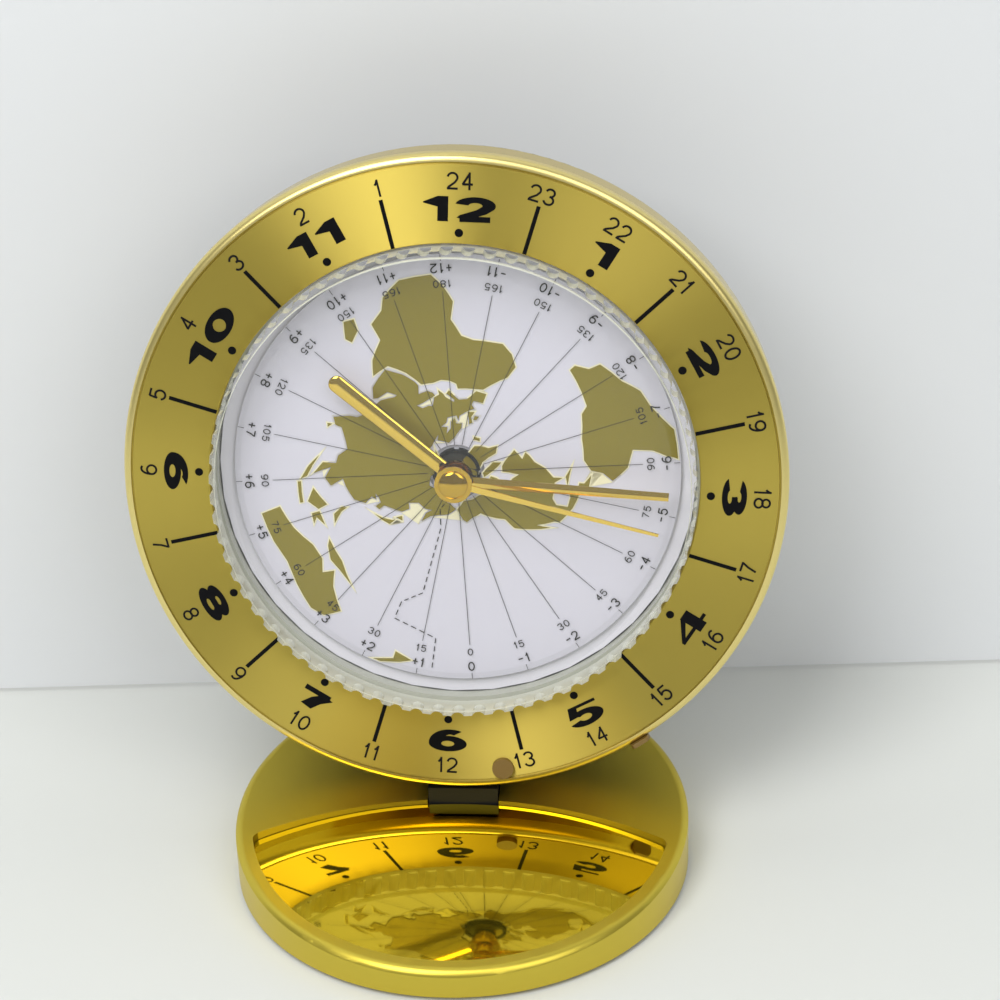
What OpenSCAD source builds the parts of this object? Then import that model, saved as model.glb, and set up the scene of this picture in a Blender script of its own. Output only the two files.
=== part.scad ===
// Desk world time clock: a round brass head leaning back on a wedge-shaped round base.
// Frame: origin on the table under the middle of the base, +X right, +Y to the rear, +Z up, mm.
// The head is drawn face up about its own centre, then stood up on its hinge by place_head().

/* [Base] */
// Width of the round base
base_d = 70.5; // [64:0.5:90]
// Height of the base at its front edge
base_front_h = 5.3; // [4.8:0.1:8]
// Height of the base at its rear edge
base_rear_h = 11.9; // [10.5:0.1:16]
// Rounding of the base's upper edge
base_round = 1.3; // [0.5:0.1:2]
// Width of the rim around the mirror
rim_w = 2.6; // [2:0.1:5]
// Place of the mirror's rear edge behind the middle of the base
mirror_rear_y = 3.1; // [1:0.1:5]
// Radius of the mirror's bowed rear edge, seen from above
mirror_rear_r = 62; // [45:1:100]
// Rounding of the mirror's two corners
mirror_corner = 1.6; // [0.5:0.1:3]
// Slope of the mirror down to the front, in degrees
mirror_slope = 8.9; // [7:0.1:10]
// Depth of the mirror below the base's top at its rear edge
mirror_depth = 0.8; // [0.4:0.1:1.2]
// Thickness of the mirror plate
plate_t = 0.8; // [0.5:0.1:1]
// Thickness of the felt pad under the base
pad_t = 0.8; // [0.5:0.1:1.2]
// Width of the felt edge left bare under the base
pad_edge = 1.6; // [1:0.1:4]
// Radius of the steel weight
weight_r = 27; // [22:0.5:28]
// Thickness of the steel weight
weight_t = 3.2; // [2:0.1:3.4]

/* [Hinge] */
// Lean of the head back from upright, in degrees
lean = 9.7; // [5:0.1:14]
// Place of the hinge pin behind the middle of the base
pivot_y = 7.6; // [7.2:0.1:9]
// Height of the hinge pin over the base's top
pivot_rise = 0; // [0:0.1:1]
// Distance of the hinge pin under the drum
pivot_drop = 2.3; // [2.2:0.1:3.5]
// Distance of the hinge pin behind the dial's face
pivot_back = 6.85; // [6.6:0.05:7.4]
// Width of the hinge
hinge_w = 10.9; // [9:0.1:14]
// Width of the hinge's middle knuckle
knuckle_w = 4.4; // [3:0.1:6]
// Radius of the hinge's knuckle and ears
knuckle_r = 1.9; // [1.6:0.05:2.1]
// Radius of the hinge pin
pin_r = 0.8; // [0.5:0.05:1]
// Thickness of the bracket's plate under the drum
bracket_t = 0.6; // [0.5:0.05:0.6]
// Thickness of the hinge block's front wall and floor
block_wall = 1.5; // [1:0.1:1.7]

/* [Case] */
// Width of the dial ring
ring_d = 100; // [94:1:120]
// Thickness of the dial ring
ring_t = 2.4; // [2:0.1:3.5]
// Width of the rounded edge outside the groove
ring_edge = 1.5; // [1.2:0.1:2.5]
// Width of the opening for the crystal
opening_d = 73.6; // [72:0.1:76]
// Depth of the brass drum behind the ring
drum_depth = 8.6; // [8.4:0.1:12]
// Wall of the brass drum
drum_wall = 2.6; // [1.5:0.1:3]
// Thickness of the drum's back
drum_back = 1.6; // [1.2:0.1:2.5]
// Rounding of the drum's rear edge
drum_round = 2.4; // [1:0.1:2.6]
// Thickness of the plate that carries the movement
carrier_t = 1.2; // [1:0.1:2]
// Outer width of the rear cover's cup
cup_d = 76; // [74:0.5:78]
// Wall of the rear cover
cup_wall = 1.6; // [1.2:0.1:2.2]
// Width of the rear cover's flange round the cup
flange_w = 6; // [5:0.1:7]
// Width of each small rubber bumper
bumper_d = 3.3; // [2:0.1:4]

/* [Crystal and map disc] */
// Height of the crystal in front of the dial's face
crystal_h = 4; // [3:0.1:6]
// Thickness of the crystal's clear front
lens_t = 1.8; // [1:0.1:2]
// Wall of the crystal
crystal_wall = 3.4; // [2.5:0.1:4]
// Number of grip flutes round the crystal
flutes = 72; // [48:6:96]
// Radius of each flute's cutter
flute_r = 1.05; // [0.8:0.05:1.3]
// Depth of each flute
flute_depth = 0.6; // [0.3:0.05:0.8]
// Depth of the crystal's rear edge behind the dial's face
crystal_back = 6.6; // [6.4:0.1:7.2]
// Thickness of the map disc
map_t = 0.8; // [0.5:0.1:1]
// Thickness of the crystal's flange
lip_t = 1.6; // [1:0.1:2]
// Width of the crystal's flange outside the opening
lip_w = 3.1; // [2:0.1:3.4]
// Running clearance of the crystal's flange, on the radius
lip_run = 0.08; // [0.04:0.01:0.1]

/* [Hands] */
// Length of the hour hand from the middle
hour_len = 24; // [18:0.5:28]
// Width of the hour hand
hour_w = 2.7; // [2:0.1:3.5]
// Gap from the minute hand's tip to the crystal's wall
minute_tip_gap = 0.8; // [0.5:0.1:6]
// Width of the minute hand at its foot
minute_w = 1.7; // [1.2:0.1:2.4]
// Gap from the second hand's tip to the crystal's wall
second_tip_gap = 1.4; // [0.8:0.1:8]
// Width of the second hand at its foot
second_w = 1; // [0.6:0.1:1.4]
// Thickness of the hands
hand_t = 0.4; // [0.3:0.05:0.6]
// Turn of the dial on its hinge, clockwise seen from the front, in degrees
dial_turn = 2.6; // [-5:0.1:5]
// Hour that the clock shows
show_hour = 10; // [0:1:11]
// Minute that the clock shows
show_minute = 15; // [0:1:59]
// Second that the clock shows
show_second = 17; // [0:1:59]

/* [Movement] */
// Wall of the movement's case
move_wall = 1.2; // [1:0.1:1.5]
// Corner radius of the movement's case
move_corner = 6; // [4:0.5:6.5]
// Radius of the hole through the hour pipe's bush
bush_bore = 1.96; // [1.96:0.02:2]
// Outer radius of the threaded bush
bush_r = 3.1; // [2.8:0.1:3.2]
// Radius of the round nut on the bush
nut_r = 3.65; // [3.5:0.05:4]
// Thickness of each gear
gear_t = 0.8; // [0.6:0.05:0.9]
// Radius of the thin gear arbors
arbor_r = 0.4; // [0.3:0.05:0.5]
// Running clearance of arbors and pipes, on the radius
run = 0.06; // [0.03:0.01:0.09]
// Radius of the battery
battery_r = 5.25; // [5:0.05:5.3]
// Length of the battery
battery_len = 44.5; // [40:0.1:46]
// Room from each end of the battery to the outside of the case
battery_end = 2.75; // [2.65:0.05:4]
// Radius of the setting knob
knob_r = 5; // [3.5:0.1:6]
// How far the setting knob stands out of the cover
knob_out = 2.6; // [1:0.1:4]

/* [Hidden] */
$fn = 96;
gap = 0.3;
touch = 0.05;
base_r = base_d / 2;
ring_r = ring_d / 2;
drum_r = ring_r - 0.4;
open_r = opening_d / 2;
crystal_r = open_r - 0.4;
cavity_r = crystal_r - crystal_wall;
minute_len = cavity_r - minute_tip_gap;
second_len = cavity_r - second_tip_gap;
lip_r = open_r + lip_w;
clamp_r = lip_r + 1.1;
base_slope = atan((base_rear_h - base_front_h) / base_d);
base_mid_h = (base_rear_h + base_front_h) / 2;
function base_top(y) = base_mid_h + y * tan(base_slope);
pivot_z = base_top(pivot_y) + pivot_rise;
block_front = mirror_rear_y + 0.1;
middle_r = pivot_drop - bracket_t - gap;
slot_rear = pivot_y + knuckle_r + 1;
slot_floor = pivot_z - knuckle_r - gap - 0.8;
weight_top = pad_t + 0.1 + weight_t;

// Depths in the head, counted from the dial's face towards the viewer
ring_back = -ring_t;
lip_front = ring_back - 0.4;
lip_back = lip_front - lip_t;
retainer_front = lip_back - 0.4;
retainer_t = 0.8;
drum_front = ring_back - 0.1;
drum_end = ring_back - drum_depth;
carrier_back = drum_end + drum_back;
carrier_front = carrier_back + carrier_t;
move_front = carrier_back - touch;
move_depth = move_wall + 0.35 + 2 * battery_r + 0.85;
move_back = move_front - move_depth;
split_z = move_front - 6;
shell_in = move_front - move_wall;
shell_end = move_back + move_wall;
cover_in = move_back - 0.2;
cover_out = cover_in - cup_wall;
flange_t = 1.2;
flange_r = cup_d / 2 + flange_w;
cover_screw_r = flange_r - 2.5;
map_back = -crystal_back;
map_front = map_back + map_t;

// Hands, from the map disc forwards
hour_z = -2.9;
minute_z = -1.4;
second_z = 0;
cap_z = second_z + 0.3;
second_turn = -6 * show_second - dial_turn;
minute_turn = -6 * (show_minute + show_second / 60) - dial_turn;
hour_turn = -30 * (show_hour + show_minute / 60 + show_second / 3600) - dial_turn;
minute_pipe_r = bush_bore - 0.96;
hour_pipe_r = bush_bore - run;

// Gear layers, from the front plate backwards
hour_gear_z = shell_in - gap - gear_t;
motion_z = hour_gear_z - 0.4 - gear_t;
centre_z = motion_z - gap - gear_t;
third_z = centre_z - 0.7 - gear_t;
seconds_z = third_z - 0.4 - gear_t;
step_z = seconds_z - 0.4 - gear_t;

// Tooth counts, modules and centres of the train
motion_m = 0.4;
hour_m = motion_m * (12 + 36) / (10 + 40);
third_m = 0.3;
centre_m = third_m * (8 + 60) / (8 + 64);
step_m = 0.38;
motion_dir = 90;
third_dir = 20;
step_dir = 150;
rotor_dir = 100;
setting_dir = 30;
motion_at = polar((12 + 36) / 2 * motion_m, motion_dir);
third_at = polar((8 + 60) / 2 * third_m, third_dir);
step_at = polar((8 + 48) / 2 * step_m, step_dir);
rotor_at = step_at + polar((8 + 40) / 2 * step_m, rotor_dir);
setting_at = motion_at + polar((36 + 12) / 2 * motion_m, setting_dir);

// Turn of wheel B that puts it in mesh with wheel A, which has za teeth and lies at -dir from it
function mesh(za, turn_a, dir, zb) =
    dir + 180 - (0.5 - (dir - turn_a) * za / 360) * 360 / zb;

// Angle of each wheel's first tooth, so that every pair is in mesh at rest
third_tooth = mesh(8, 0, third_dir, 60);
centre_tooth = mesh(8, third_tooth, third_dir + 180, 64);
step_tooth = mesh(48, 0, step_dir, 8);
rotor_tooth = mesh(40, step_tooth, rotor_dir, 8);
motion_tooth = mesh(12, 0, motion_dir, 36);
hour_tooth = mesh(10, 0, motion_dir + 180, 40);
setting_tooth = mesh(36, motion_tooth, setting_dir, 12);

// Battery, coil and board places in the movement
train_low = 48 / 2 * step_m + step_m + gap;
bay_wall = 0.9;
bay_top = -train_low - bay_wall;
battery_y = bay_top - 0.6 - battery_r;
battery_z = move_front - move_wall - battery_r - 0.35;
move_w = battery_len + 2 * battery_end;
move_h = 2 * (battery_r + 2 + move_wall - battery_y);
coil_y = move_h / 2 - move_wall - 3.2;
coil_z = third_z - 0.3;
door_w = battery_len + 7;
door_h = 2 * battery_r + 3;
door_t = cup_wall * 0.6;
door_ledge = 1.2;
board_at = [setting_at[0] + 3.2, setting_at[1] - 3.4];
board_z = coil_z - 1.8;

function polar(r, a) = [r * cos(a), r * sin(a)];
function degrees(x) = x * 180 / PI;
function involute(a) = degrees(tan(a)) - a;
// Half a tooth's angle at radius r, thinned for backlash
function half_tooth(z, m, r) =
    let (rb = z * m / 2 * cos(20), a = r > rb ? acos(rb / r) : 0)
    max(0.15 * 90 / z, 0.86 * 90 / z + involute(20) - involute(a));
// One side of a tooth as radius and half angle, from root to tip
function flank(z, m, up, down) =
    let (r = z * m / 2)
    [for (k = [r - down * m, r, r + up * m]) [k, half_tooth(z, m, k)]];

// Placement helpers

module place_head() {
    translate([0, pivot_y, pivot_z])
        rotate([90 - lean, 0, 0])
            translate([0, drum_r + pivot_drop, pivot_back])
                children();
}

module place_base_top() {
    translate([0, 0, base_mid_h])
        rotate([base_slope, 0, 0])
            children();
}

module place_mirror() {
    translate([0, mirror_rear_y, base_top(mirror_rear_y) - mirror_depth])
        rotate([mirror_slope, 0, 0])
            children();
}

module around(count, radius, start = 0) {
    for (i = [0 : count - 1])
        rotate(start + i * 360 / count)
            translate([radius, 0, 0])
                children();
}

// Shared shapes

module ring(r_out, r_in, z0, z1) {
    translate([0, 0, z0])
        difference() {
            cylinder(r = r_out, h = z1 - z0);
            translate([0, 0, -1])
                cylinder(r = r_in, h = z1 - z0 + 2);
        }
}

module rod(r, z0, z1) {
    translate([0, 0, z0])
        cylinder(r = r, h = z1 - z0, $fn = r > 8 ? 180 : 48);
}

module rod_x(r, x0, x1) {
    translate([x0, 0, 0])
        rotate([0, 90, 0])
            cylinder(r = r, h = x1 - x0, $fn = 48);
}

module rounded_disc(r, h, edge) {
    rotate_extrude($fn = 180) {
        square([r - edge, h]);
        square([r, h - edge]);
        translate([r - edge, h - edge])
            circle(r = edge, $fn = 48);
    }
}

module rounded_square(w, h, r) {
    square([w - 2 * r, h], center = true);
    square([w, h - 2 * r], center = true);
    for (x = [-1, 1], y = [-1, 1])
        translate([x * (w / 2 - r), y * (h / 2 - r)])
            circle(r = r, $fn = 48);
}

// Round-headed screw along Z: the head lies from z = 0 upwards and has a slot
module screw(head_r, head_h, shank_r, length) {
    difference() {
        cylinder(r = head_r, h = head_h, $fn = 32);
        translate([-head_r, -head_r / 7, head_h * 0.55])
            cube([2 * head_r, head_r / 3.5, head_h]);
    }
    translate([0, 0, -length])
        cylinder(r = shank_r, h = length + head_h / 3, $fn = 32);
}

module gear(z, m, up, down, turn, z0, t = gear_t) {
    side = flank(z, m, up, down);
    translate([0, 0, z0])
        rotate(turn)
            linear_extrude(t)
                polygon([for (i = [0 : z - 1])
                    each concat(
                        [for (s = [0 : 2]) polar(side[s][0], i * 360 / z - side[s][1])],
                        [for (s = [2 : -1 : 0]) polar(side[s][0], i * 360 / z + side[s][1])])
                ]);
}

module wheel(z, m, turn, z0) {
    gear(z, m, 0.5, 1.2, turn, z0);
}

module pinion(z, m, turn, z0, t) {
    gear(z, m, 0.9, 0.75, turn, z0, t);
}

// Base

// Where circles of radius ra and rb cross, b lying dy below a
function crossing(ra, rb, dy) =
    let (y = (ra * ra - rb * rb + dy * dy) / (-2 * dy)) [sqrt(ra * ra - y * y), y];
function unit(v) = v / norm(v);

// Plan of the mirror: a round front, a bowed rear edge and two rounded corners
module mirror_plan(inset) {
    front_r = base_r - rim_w - inset;
    rear_r = mirror_rear_r - inset;
    rear_c = [0, mirror_rear_y - mirror_rear_r];
    c = crossing(front_r - mirror_corner, rear_r - mirror_corner, -rear_c[1]);
    front_tip = unit(c) * front_r;
    rear_tip = rear_c + unit(c - rear_c) * rear_r;
    difference() {
        intersection() {
            circle(r = front_r, $fn = 180);
            translate(rear_c)
                circle(r = rear_r, $fn = 240);
        }
        for (s = [-1, 1])
            scale([s, 1])
                difference() {
                    polygon([c, front_tip, unit(front_tip + rear_tip) * (front_r + 2), rear_tip]);
                    translate(c)
                        circle(r = mirror_corner + 0.02, $fn = 48);
                }
    }
}

module mirror_column(inset) {
    translate([0, 0, -5])
        linear_extrude(2 * base_rear_h)
            mirror_plan(inset);
}

module mirror_slab(z0, z1) {
    place_mirror()
        translate([-base_d, -2 * base_d, z0])
            cube([2 * base_d, 3 * base_d, z1 - z0]);
}

module weight_plan(inset) {
    difference() {
        circle(r = weight_r - inset);
        translate([-weight_r, -weight_r - 3 + inset])
            square([2 * weight_r, weight_r]);
        translate([-hinge_w / 2 - 2 - inset, -weight_r])
            square([hinge_w + 4 + 2 * inset, weight_r + slot_rear + 2 + inset]);
    }
}

module weight_screw_places() {
    for (x = [-1, 1])
        translate([x * weight_r * 0.66, weight_r * 0.3, pad_t + 1.2])
            children();
}

module block_screw_places() {
    for (x = [-1, 1])
        translate([x * (knuckle_w / 2 + 1.5), pivot_y, slot_floor - 1.6])
            children();
}

module base_body() {
    color("darkkhaki")
        difference() {
            intersection() {
                rod(base_r, pad_t, 2 * base_rear_h);
                place_base_top()
                    union() {
                        translate([0, 0, -base_round - 0.5])
                            rounded_disc(base_r / cos(base_slope) + 0.2, base_round + 0.5,
                                base_round + 0.2);
                        translate([-base_d, -base_d, -3 * base_rear_h])
                            cube([2 * base_d, 2 * base_d, 3 * base_rear_h - base_round - 0.3]);
                    }
            }
            intersection() {
                mirror_column(0);
                mirror_slab(-plate_t, 20);
            }
            translate([-hinge_w / 2 - 0.15, mirror_rear_y - 0.4, slot_floor])
                cube([hinge_w + 0.3, slot_rear - mirror_rear_y + 0.4, base_rear_h]);
            translate([0, 0, -1])
                linear_extrude(weight_top + 1)
                    weight_plan(0);
            weight_screw_places()
                rod(0.85, 0, weight_top - pad_t + 1);
            block_screw_places()
                rod(0.95, -base_rear_h, 3);
            block_screw_places()
                rod(1.75, -base_rear_h, 0);
        }
}

module mirror_plate() {
    color("gold")
        intersection() {
            mirror_column(0.12);
            mirror_slab(-plate_t + 0.02, 0);
        }
}

module base_weight() {
    color("dimgray")
        difference() {
            translate([0, 0, pad_t + 0.1])
                linear_extrude(weight_t - 0.1)
                    weight_plan(0.25);
            weight_screw_places()
                rod(0.9, -2, weight_t + 2);
            weight_screw_places()
                rod(1.7, -2, 0);
        }
}

module weight_screws() {
    color("silver")
        weight_screw_places()
            rotate([180, 0, 0])
                screw(1.5, 0.9, 0.8, weight_top - pad_t - 0.5);
}

module base_pad() {
    color("darkgreen")
        rod(base_r - pad_edge, 0, pad_t);
}

// Hinge

module hinge_block() {
    floor_top = slot_floor + 0.8;
    color("black")
        difference() {
            union() {
                translate([-hinge_w / 2, block_front, slot_floor])
                    cube([hinge_w, slot_rear - block_front - 0.2, 0.8]);
                translate([-hinge_w / 2, block_front, slot_floor])
                    cube([hinge_w, block_wall, pivot_z + 1.6 - slot_floor]);
                translate([-knuckle_w / 2, block_front, slot_floor])
                    cube([knuckle_w, pivot_y - block_front, pivot_z + 1.2 - slot_floor]);
                translate([-knuckle_w / 2, pivot_y - middle_r, slot_floor])
                    cube([knuckle_w, 2 * middle_r, pivot_z - slot_floor]);
                translate([0, pivot_y, pivot_z])
                    rod_x(middle_r, -knuckle_w / 2, knuckle_w / 2);
            }
            translate([0, pivot_y, pivot_z])
                rod_x(pin_r + 0.05, -knuckle_w, knuckle_w);
            block_screw_places()
                rod(0.75, -1, 1.6 + 0.8 + 1);
        }
}

module block_screws() {
    color("silver")
        block_screw_places()
            rotate([180, 0, 0])
                screw(1.5, 0.9, 0.7, 1.6 + 0.7);
}

// Places of the two bracket screws, out through the drum's wall, along +Z
module bracket_screw_places() {
    for (x = [-1, 1])
        translate([0, 0, -pivot_back + 0.4])
            rotate([90, 0, 0])
                rotate([0, x * asin((hinge_w / 2 + 2) / drum_r), 0])
                    translate([0, 0, drum_r + bracket_t])
                        children();
}

module hinge_bracket() {
    pivot_v = -(drum_r + pivot_drop);
    ear_w = (hinge_w - knuckle_w) / 2 - 0.25;
    color("black")
        place_head()
            difference() {
                union() {
                    intersection() {
                        rod(drum_r + bracket_t, -pivot_back - 1.7, -pivot_back + 2.1);
                        translate([-hinge_w / 2 - 3.6, -2 * drum_r, -pivot_back - 5])
                            cube([hinge_w + 7.2, drum_r, 10]);
                    }
                    for (s = [-1, 1])
                        translate([s * (knuckle_w + ear_w + 0.5) / 2, pivot_v, -pivot_back]) {
                            rod_x(knuckle_r, -ear_w / 2, ear_w / 2);
                            translate([-ear_w / 2, 0, -knuckle_r + 0.2])
                                cube([ear_w, pivot_drop, 2 * knuckle_r - 0.4]);
                        }
                }
                rod(drum_r + 0.02, -drum_depth - 20, 5);
                translate([0, pivot_v, -pivot_back])
                    rod_x(pin_r + 0.02, -hinge_w, hinge_w);
                bracket_screw_places()
                    rod(0.65, -2, 2);
            }
}

module bracket_screws() {
    color("silver")
        place_head()
            bracket_screw_places()
                screw(1.1, 0.6, 0.6, bracket_t + drum_wall - 0.4);
}

module hinge_pin() {
    color("silver")
        translate([0, pivot_y, pivot_z])
            rod_x(pin_r, -hinge_w / 2 + 0.3, hinge_w / 2 - 0.3);
}

// Case

module dial_ring() {
    edge = ring_edge - 0.3;
    color("goldenrod")
        place_head()
            difference() {
                rotate_extrude($fn = 180) {
                    translate([open_r, ring_back])
                        square([ring_r - ring_edge - open_r, ring_t]);
                    translate([ring_r - ring_edge - 0.01, ring_back])
                        square([0.32, ring_t - 0.3]);
                    translate([ring_r - edge, ring_back])
                        square([edge, ring_t - edge - 0.05]);
                    translate([ring_r - edge - 0.02, ring_back])
                        square([0.04, ring_t - 0.05]);
                    translate([ring_r - edge, -edge - 0.05])
                        intersection() {
                            circle(r = edge, $fn = 48);
                            square(edge);
                        }
                    translate([lip_r + lip_run, retainer_front])
                        square([2, ring_back - retainer_front + 0.1]);
                    translate([drum_r - drum_wall - 1.2, ring_back - 2.5])
                        square([1.15, 2.5]);
                }
                around(4, clamp_r, 45)
                    rod(0.6, retainer_front - 1, -1);
            }
}

module rubber_bumpers() {
    color([0.45, 0.36, 0.2])
        place_head() {
            rotate(-81.9)
                translate([ring_r - ring_edge - bumper_d / 2 - 0.1, 0, 0])
                    rod(bumper_d / 2, 0.02, 0.8);
            rotate(-56.5)
                translate([ring_r, 0, ring_back / 2])
                    rotate([0, 90, 0])
                        intersection() {
                            rod(bumper_d / 2, 0.02, 0.7);
                            translate([-ring_t / 2, -bumper_d, -1])
                                cube([ring_t, 2 * bumper_d, 3]);
                        }
        }
}

module case_drum() {
    color("gold")
        place_head()
            difference() {
                rotate_extrude($fn = 180)
                    difference() {
                        union() {
                            translate([cup_d / 2 + 0.6, drum_end])
                                square([drum_r - drum_round - cup_d / 2 - 0.6, drum_front - drum_end]);
                            translate([drum_r - drum_wall, drum_end + drum_round])
                                square([drum_wall, drum_front - drum_end - drum_round]);
                            translate([drum_r - drum_round, drum_end + drum_round])
                                circle(r = drum_round, $fn = 48);
                        }
                        translate([0, carrier_back])
                            square([drum_r - drum_wall, drum_depth]);
                    }
                around(4, drum_r - drum_wall - 2.5)
                    rod(0.85, drum_end - 1, 0);
                around(4, cover_screw_r, 45)
                    rod(0.85, drum_end - 1, 0);
                bracket_screw_places()
                    rod(0.65, -drum_wall - 1.2, 1);
            }
}

module retainer_ring() {
    color("silver")
        place_head()
            difference() {
                ring(lip_r + lip_run + 2, open_r + 0.1, retainer_front - retainer_t, retainer_front - 0.01);
                around(4, clamp_r, 45)
                    rod(0.62, retainer_front - 2, 0);
            }
}

module retainer_screws() {
    color("silver")
        place_head()
            around(4, clamp_r, 45)
                translate([0, 0, retainer_front - retainer_t])
                    rotate([180, 0, 0])
                        screw(0.95, 0.6, 0.55, retainer_t + 2);
}

module movement_carrier() {
    color("dimgray")
        place_head()
            difference() {
                ring(drum_r - drum_wall - 0.2, bush_r + 0.1, carrier_back + 0.01, carrier_front);
                around(4, drum_r - drum_wall - 2.5)
                    rod(0.85, drum_end, 0);
            }
}

module carrier_screws() {
    color("silver")
        place_head()
            around(4, drum_r - drum_wall - 2.5)
                translate([0, 0, carrier_front])
                    screw(1.5, 0.7, 0.8, carrier_t + drum_back - 0.2);
}

module rear_cover() {
    color([0.12, 0.12, 0.12])
        place_head()
            difference() {
                union() {
                    rod(cup_d / 2, cover_out, drum_end);
                    rod(flange_r, drum_end - flange_t, drum_end - 0.01);
                }
                rod(cup_d / 2 - cup_wall, cover_in, drum_end + 1);
                around(4, cover_screw_r, 45)
                    rod(0.9, drum_end - 3, drum_end + 1);
                translate([setting_at[0], setting_at[1], 0])
                    rod(knob_r + gap, cover_out - 1, cover_in + 1);
                translate([-door_w / 2 - gap, battery_y - door_h / 2 - gap, cover_out - 1])
                    cube([door_w + 2 * gap, door_h + 2 * gap, door_t + 1]);
                translate([-door_w / 2 + door_ledge, battery_y - door_h / 2 + door_ledge, cover_out])
                    cube([door_w - 2 * door_ledge, door_h - 2 * door_ledge, cup_wall + 1]);
            }
}

module cover_screws() {
    color("silver")
        place_head()
            around(4, cover_screw_r, 45)
                translate([0, 0, drum_end - flange_t])
                    rotate([180, 0, 0])
                        screw(1.6, 0.8, 0.8, flange_t + drum_back - 0.1);
}

module battery_door() {
    color([0.15, 0.15, 0.15])
        place_head() {
            translate([-door_w / 2, battery_y - door_h / 2, cover_out])
                cube([door_w, door_h, door_t - 0.02]);
            for (i = [-2 : 2])
                translate([-6, battery_y + i * 1.6 - 0.4, cover_out - 0.5])
                    cube([12, 0.8, 0.6]);
        }
}

// Crystal and map disc

module flute_ring(r) {
    difference() {
        circle(r = r, $fn = 180);
        around(flutes, r + flute_r - flute_depth)
            circle(r = flute_r, $fn = 24);
    }
}

module crystal() {
    flute_top = crystal_h - 0.9;
    color([0.8, 0.9, 0.85, 0.4])
        place_head()
            difference() {
                union() {
                    rod(crystal_r, -crystal_back, 0.3);
                    translate([0, 0, 0.3])
                        linear_extrude(flute_top - 0.3)
                            flute_ring(crystal_r);
                    translate([0, 0, flute_top - 0.01])
                        rounded_disc(crystal_r - flute_depth - 0.2, crystal_h - flute_top + 0.01, 0.5);
                    rod(lip_r, lip_back, lip_front);
                }
                rod(cavity_r, -crystal_back - 1, crystal_h - lens_t);
                rod(cavity_r + 1, -crystal_back - 1, map_front);
            }
}

module map_disc() {
    color("lavender")
        place_head()
            ring(cavity_r + 0.95, nut_r + 0.65, map_back, map_front - 0.01, $fn = 180);
}

// Hands

module hand_tube(r_out, r_in, z0, z1) {
    ring(r_out, r_in, z0, z1, $fn = 48);
}

module hour_hand() {
    color("gold")
        place_head()
            rotate(hour_turn)
                difference() {
                    union() {
                        rod(hour_pipe_r + 0.9, hour_z, hour_z + hand_t);
                        rod(hour_pipe_r + 0.4, hour_z - 0.8, hour_z);
                        translate([-hour_w * 0.42, 0, hour_z])
                            linear_extrude(hand_t)
                                polygon([[0, 0], [hour_w * 0.84, 0],
                                    [hour_w * 0.92, hour_len - hour_w / 2],
                                    [-hour_w * 0.08, hour_len - hour_w / 2]]);
                        translate([0, hour_len - hour_w / 2, hour_z])
                            cylinder(r = hour_w / 2, h = hand_t, $fn = 48);
                    }
                    rod(hour_pipe_r + 0.01, hour_z - 2, hour_z + 2);
                }
}

module minute_hand() {
    tip_w = minute_w * 0.76;
    color("gold")
        place_head()
            rotate(minute_turn)
                difference() {
                    union() {
                        rod(minute_pipe_r + 1, minute_z, minute_z + hand_t);
                        rod(minute_pipe_r + 0.5, minute_z - 0.7, minute_z);
                        hull() {
                            translate([0, 1.2, minute_z])
                                rotate([90, 0, 0])
                                    linear_extrude(0.1)
                                        polygon(roof(minute_w));
                            translate([0, minute_len, minute_z])
                                rotate([90, 0, 0])
                                    linear_extrude(0.1)
                                        polygon(roof(tip_w));
                        }
                    }
                    rod(minute_pipe_r + 0.01, minute_z - 2, minute_z + 2);
                }
}

// Section of a roof-shaped hand
function roof(w) = [[-w / 2, 0], [w / 2, 0], [w / 2, hand_t * 0.35], [0, hand_t], [-w / 2, hand_t * 0.35]];

module second_hand() {
    tip_w = second_w * 0.45;
    color("gold")
        place_head()
            rotate(second_turn)
                difference() {
                    union() {
                        rod(1.7, second_z, second_z + 0.3);
                        rod(0.9, second_z - 0.5, second_z);
                        translate([0, 0, second_z])
                            linear_extrude(0.3)
                                polygon([[-second_w / 2, 0], [second_w / 2, 0],
                                    [tip_w / 2, second_len], [-tip_w / 2, second_len]]);
                    }
                    rod(arbor_r + 0.01, second_z - 2, second_z + 2);
                }
}

module hand_cap() {
    color("gold")
        place_head()
            difference() {
                union() {
                    rod(2.85, cap_z + 0.01, cap_z + 0.35);
                    translate([0, 0, cap_z])
                        rounded_disc(2.2, 1.1, 0.5);
                }
                rod(arbor_r + 0.01, cap_z - 1, cap_z + 0.5);
            }
}

// Movement

module shell_plan(inset) {
    rounded_square(move_w - 2 * inset, move_h - 2 * inset, move_corner - inset);
}

module movement_front() {
    color("black")
        place_head()
            difference() {
                union() {
                    difference() {
                        translate([0, 0, split_z + 0.01])
                            linear_extrude(move_front - split_z - 0.01)
                                shell_plan(0);
                        translate([0, 0, split_z - 1])
                            linear_extrude(shell_in - split_z + 1)
                                shell_plan(move_wall);
                    }
                    rod(bush_r, move_front - 0.5, -crystal_back + 1);
                    translate([motion_at[0], motion_at[1], 0])
                        rod(0.8, motion_z, shell_in + 0.2);
                }
                rod(bush_bore, shell_in - 1, 0);
                for (p = [third_at, step_at, rotor_at, setting_at])
                    translate([p[0], p[1], 0])
                        rod(arbor_r + run, shell_in - 1, shell_in + 0.8);
            }
}

module mount_nut() {
    color("black")
        place_head()
            difference() {
                rod(nut_r, carrier_front + 0.01, -crystal_back + 1.3);
                rod(bush_r + 0.05, carrier_front - 1, 0);
                for (a = [0 : 90 : 270])
                    rotate(a)
                        translate([nut_r - 0.3, -0.4, carrier_front + 0.8])
                            cube([1, 0.8, 5]);
            }
}

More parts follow.
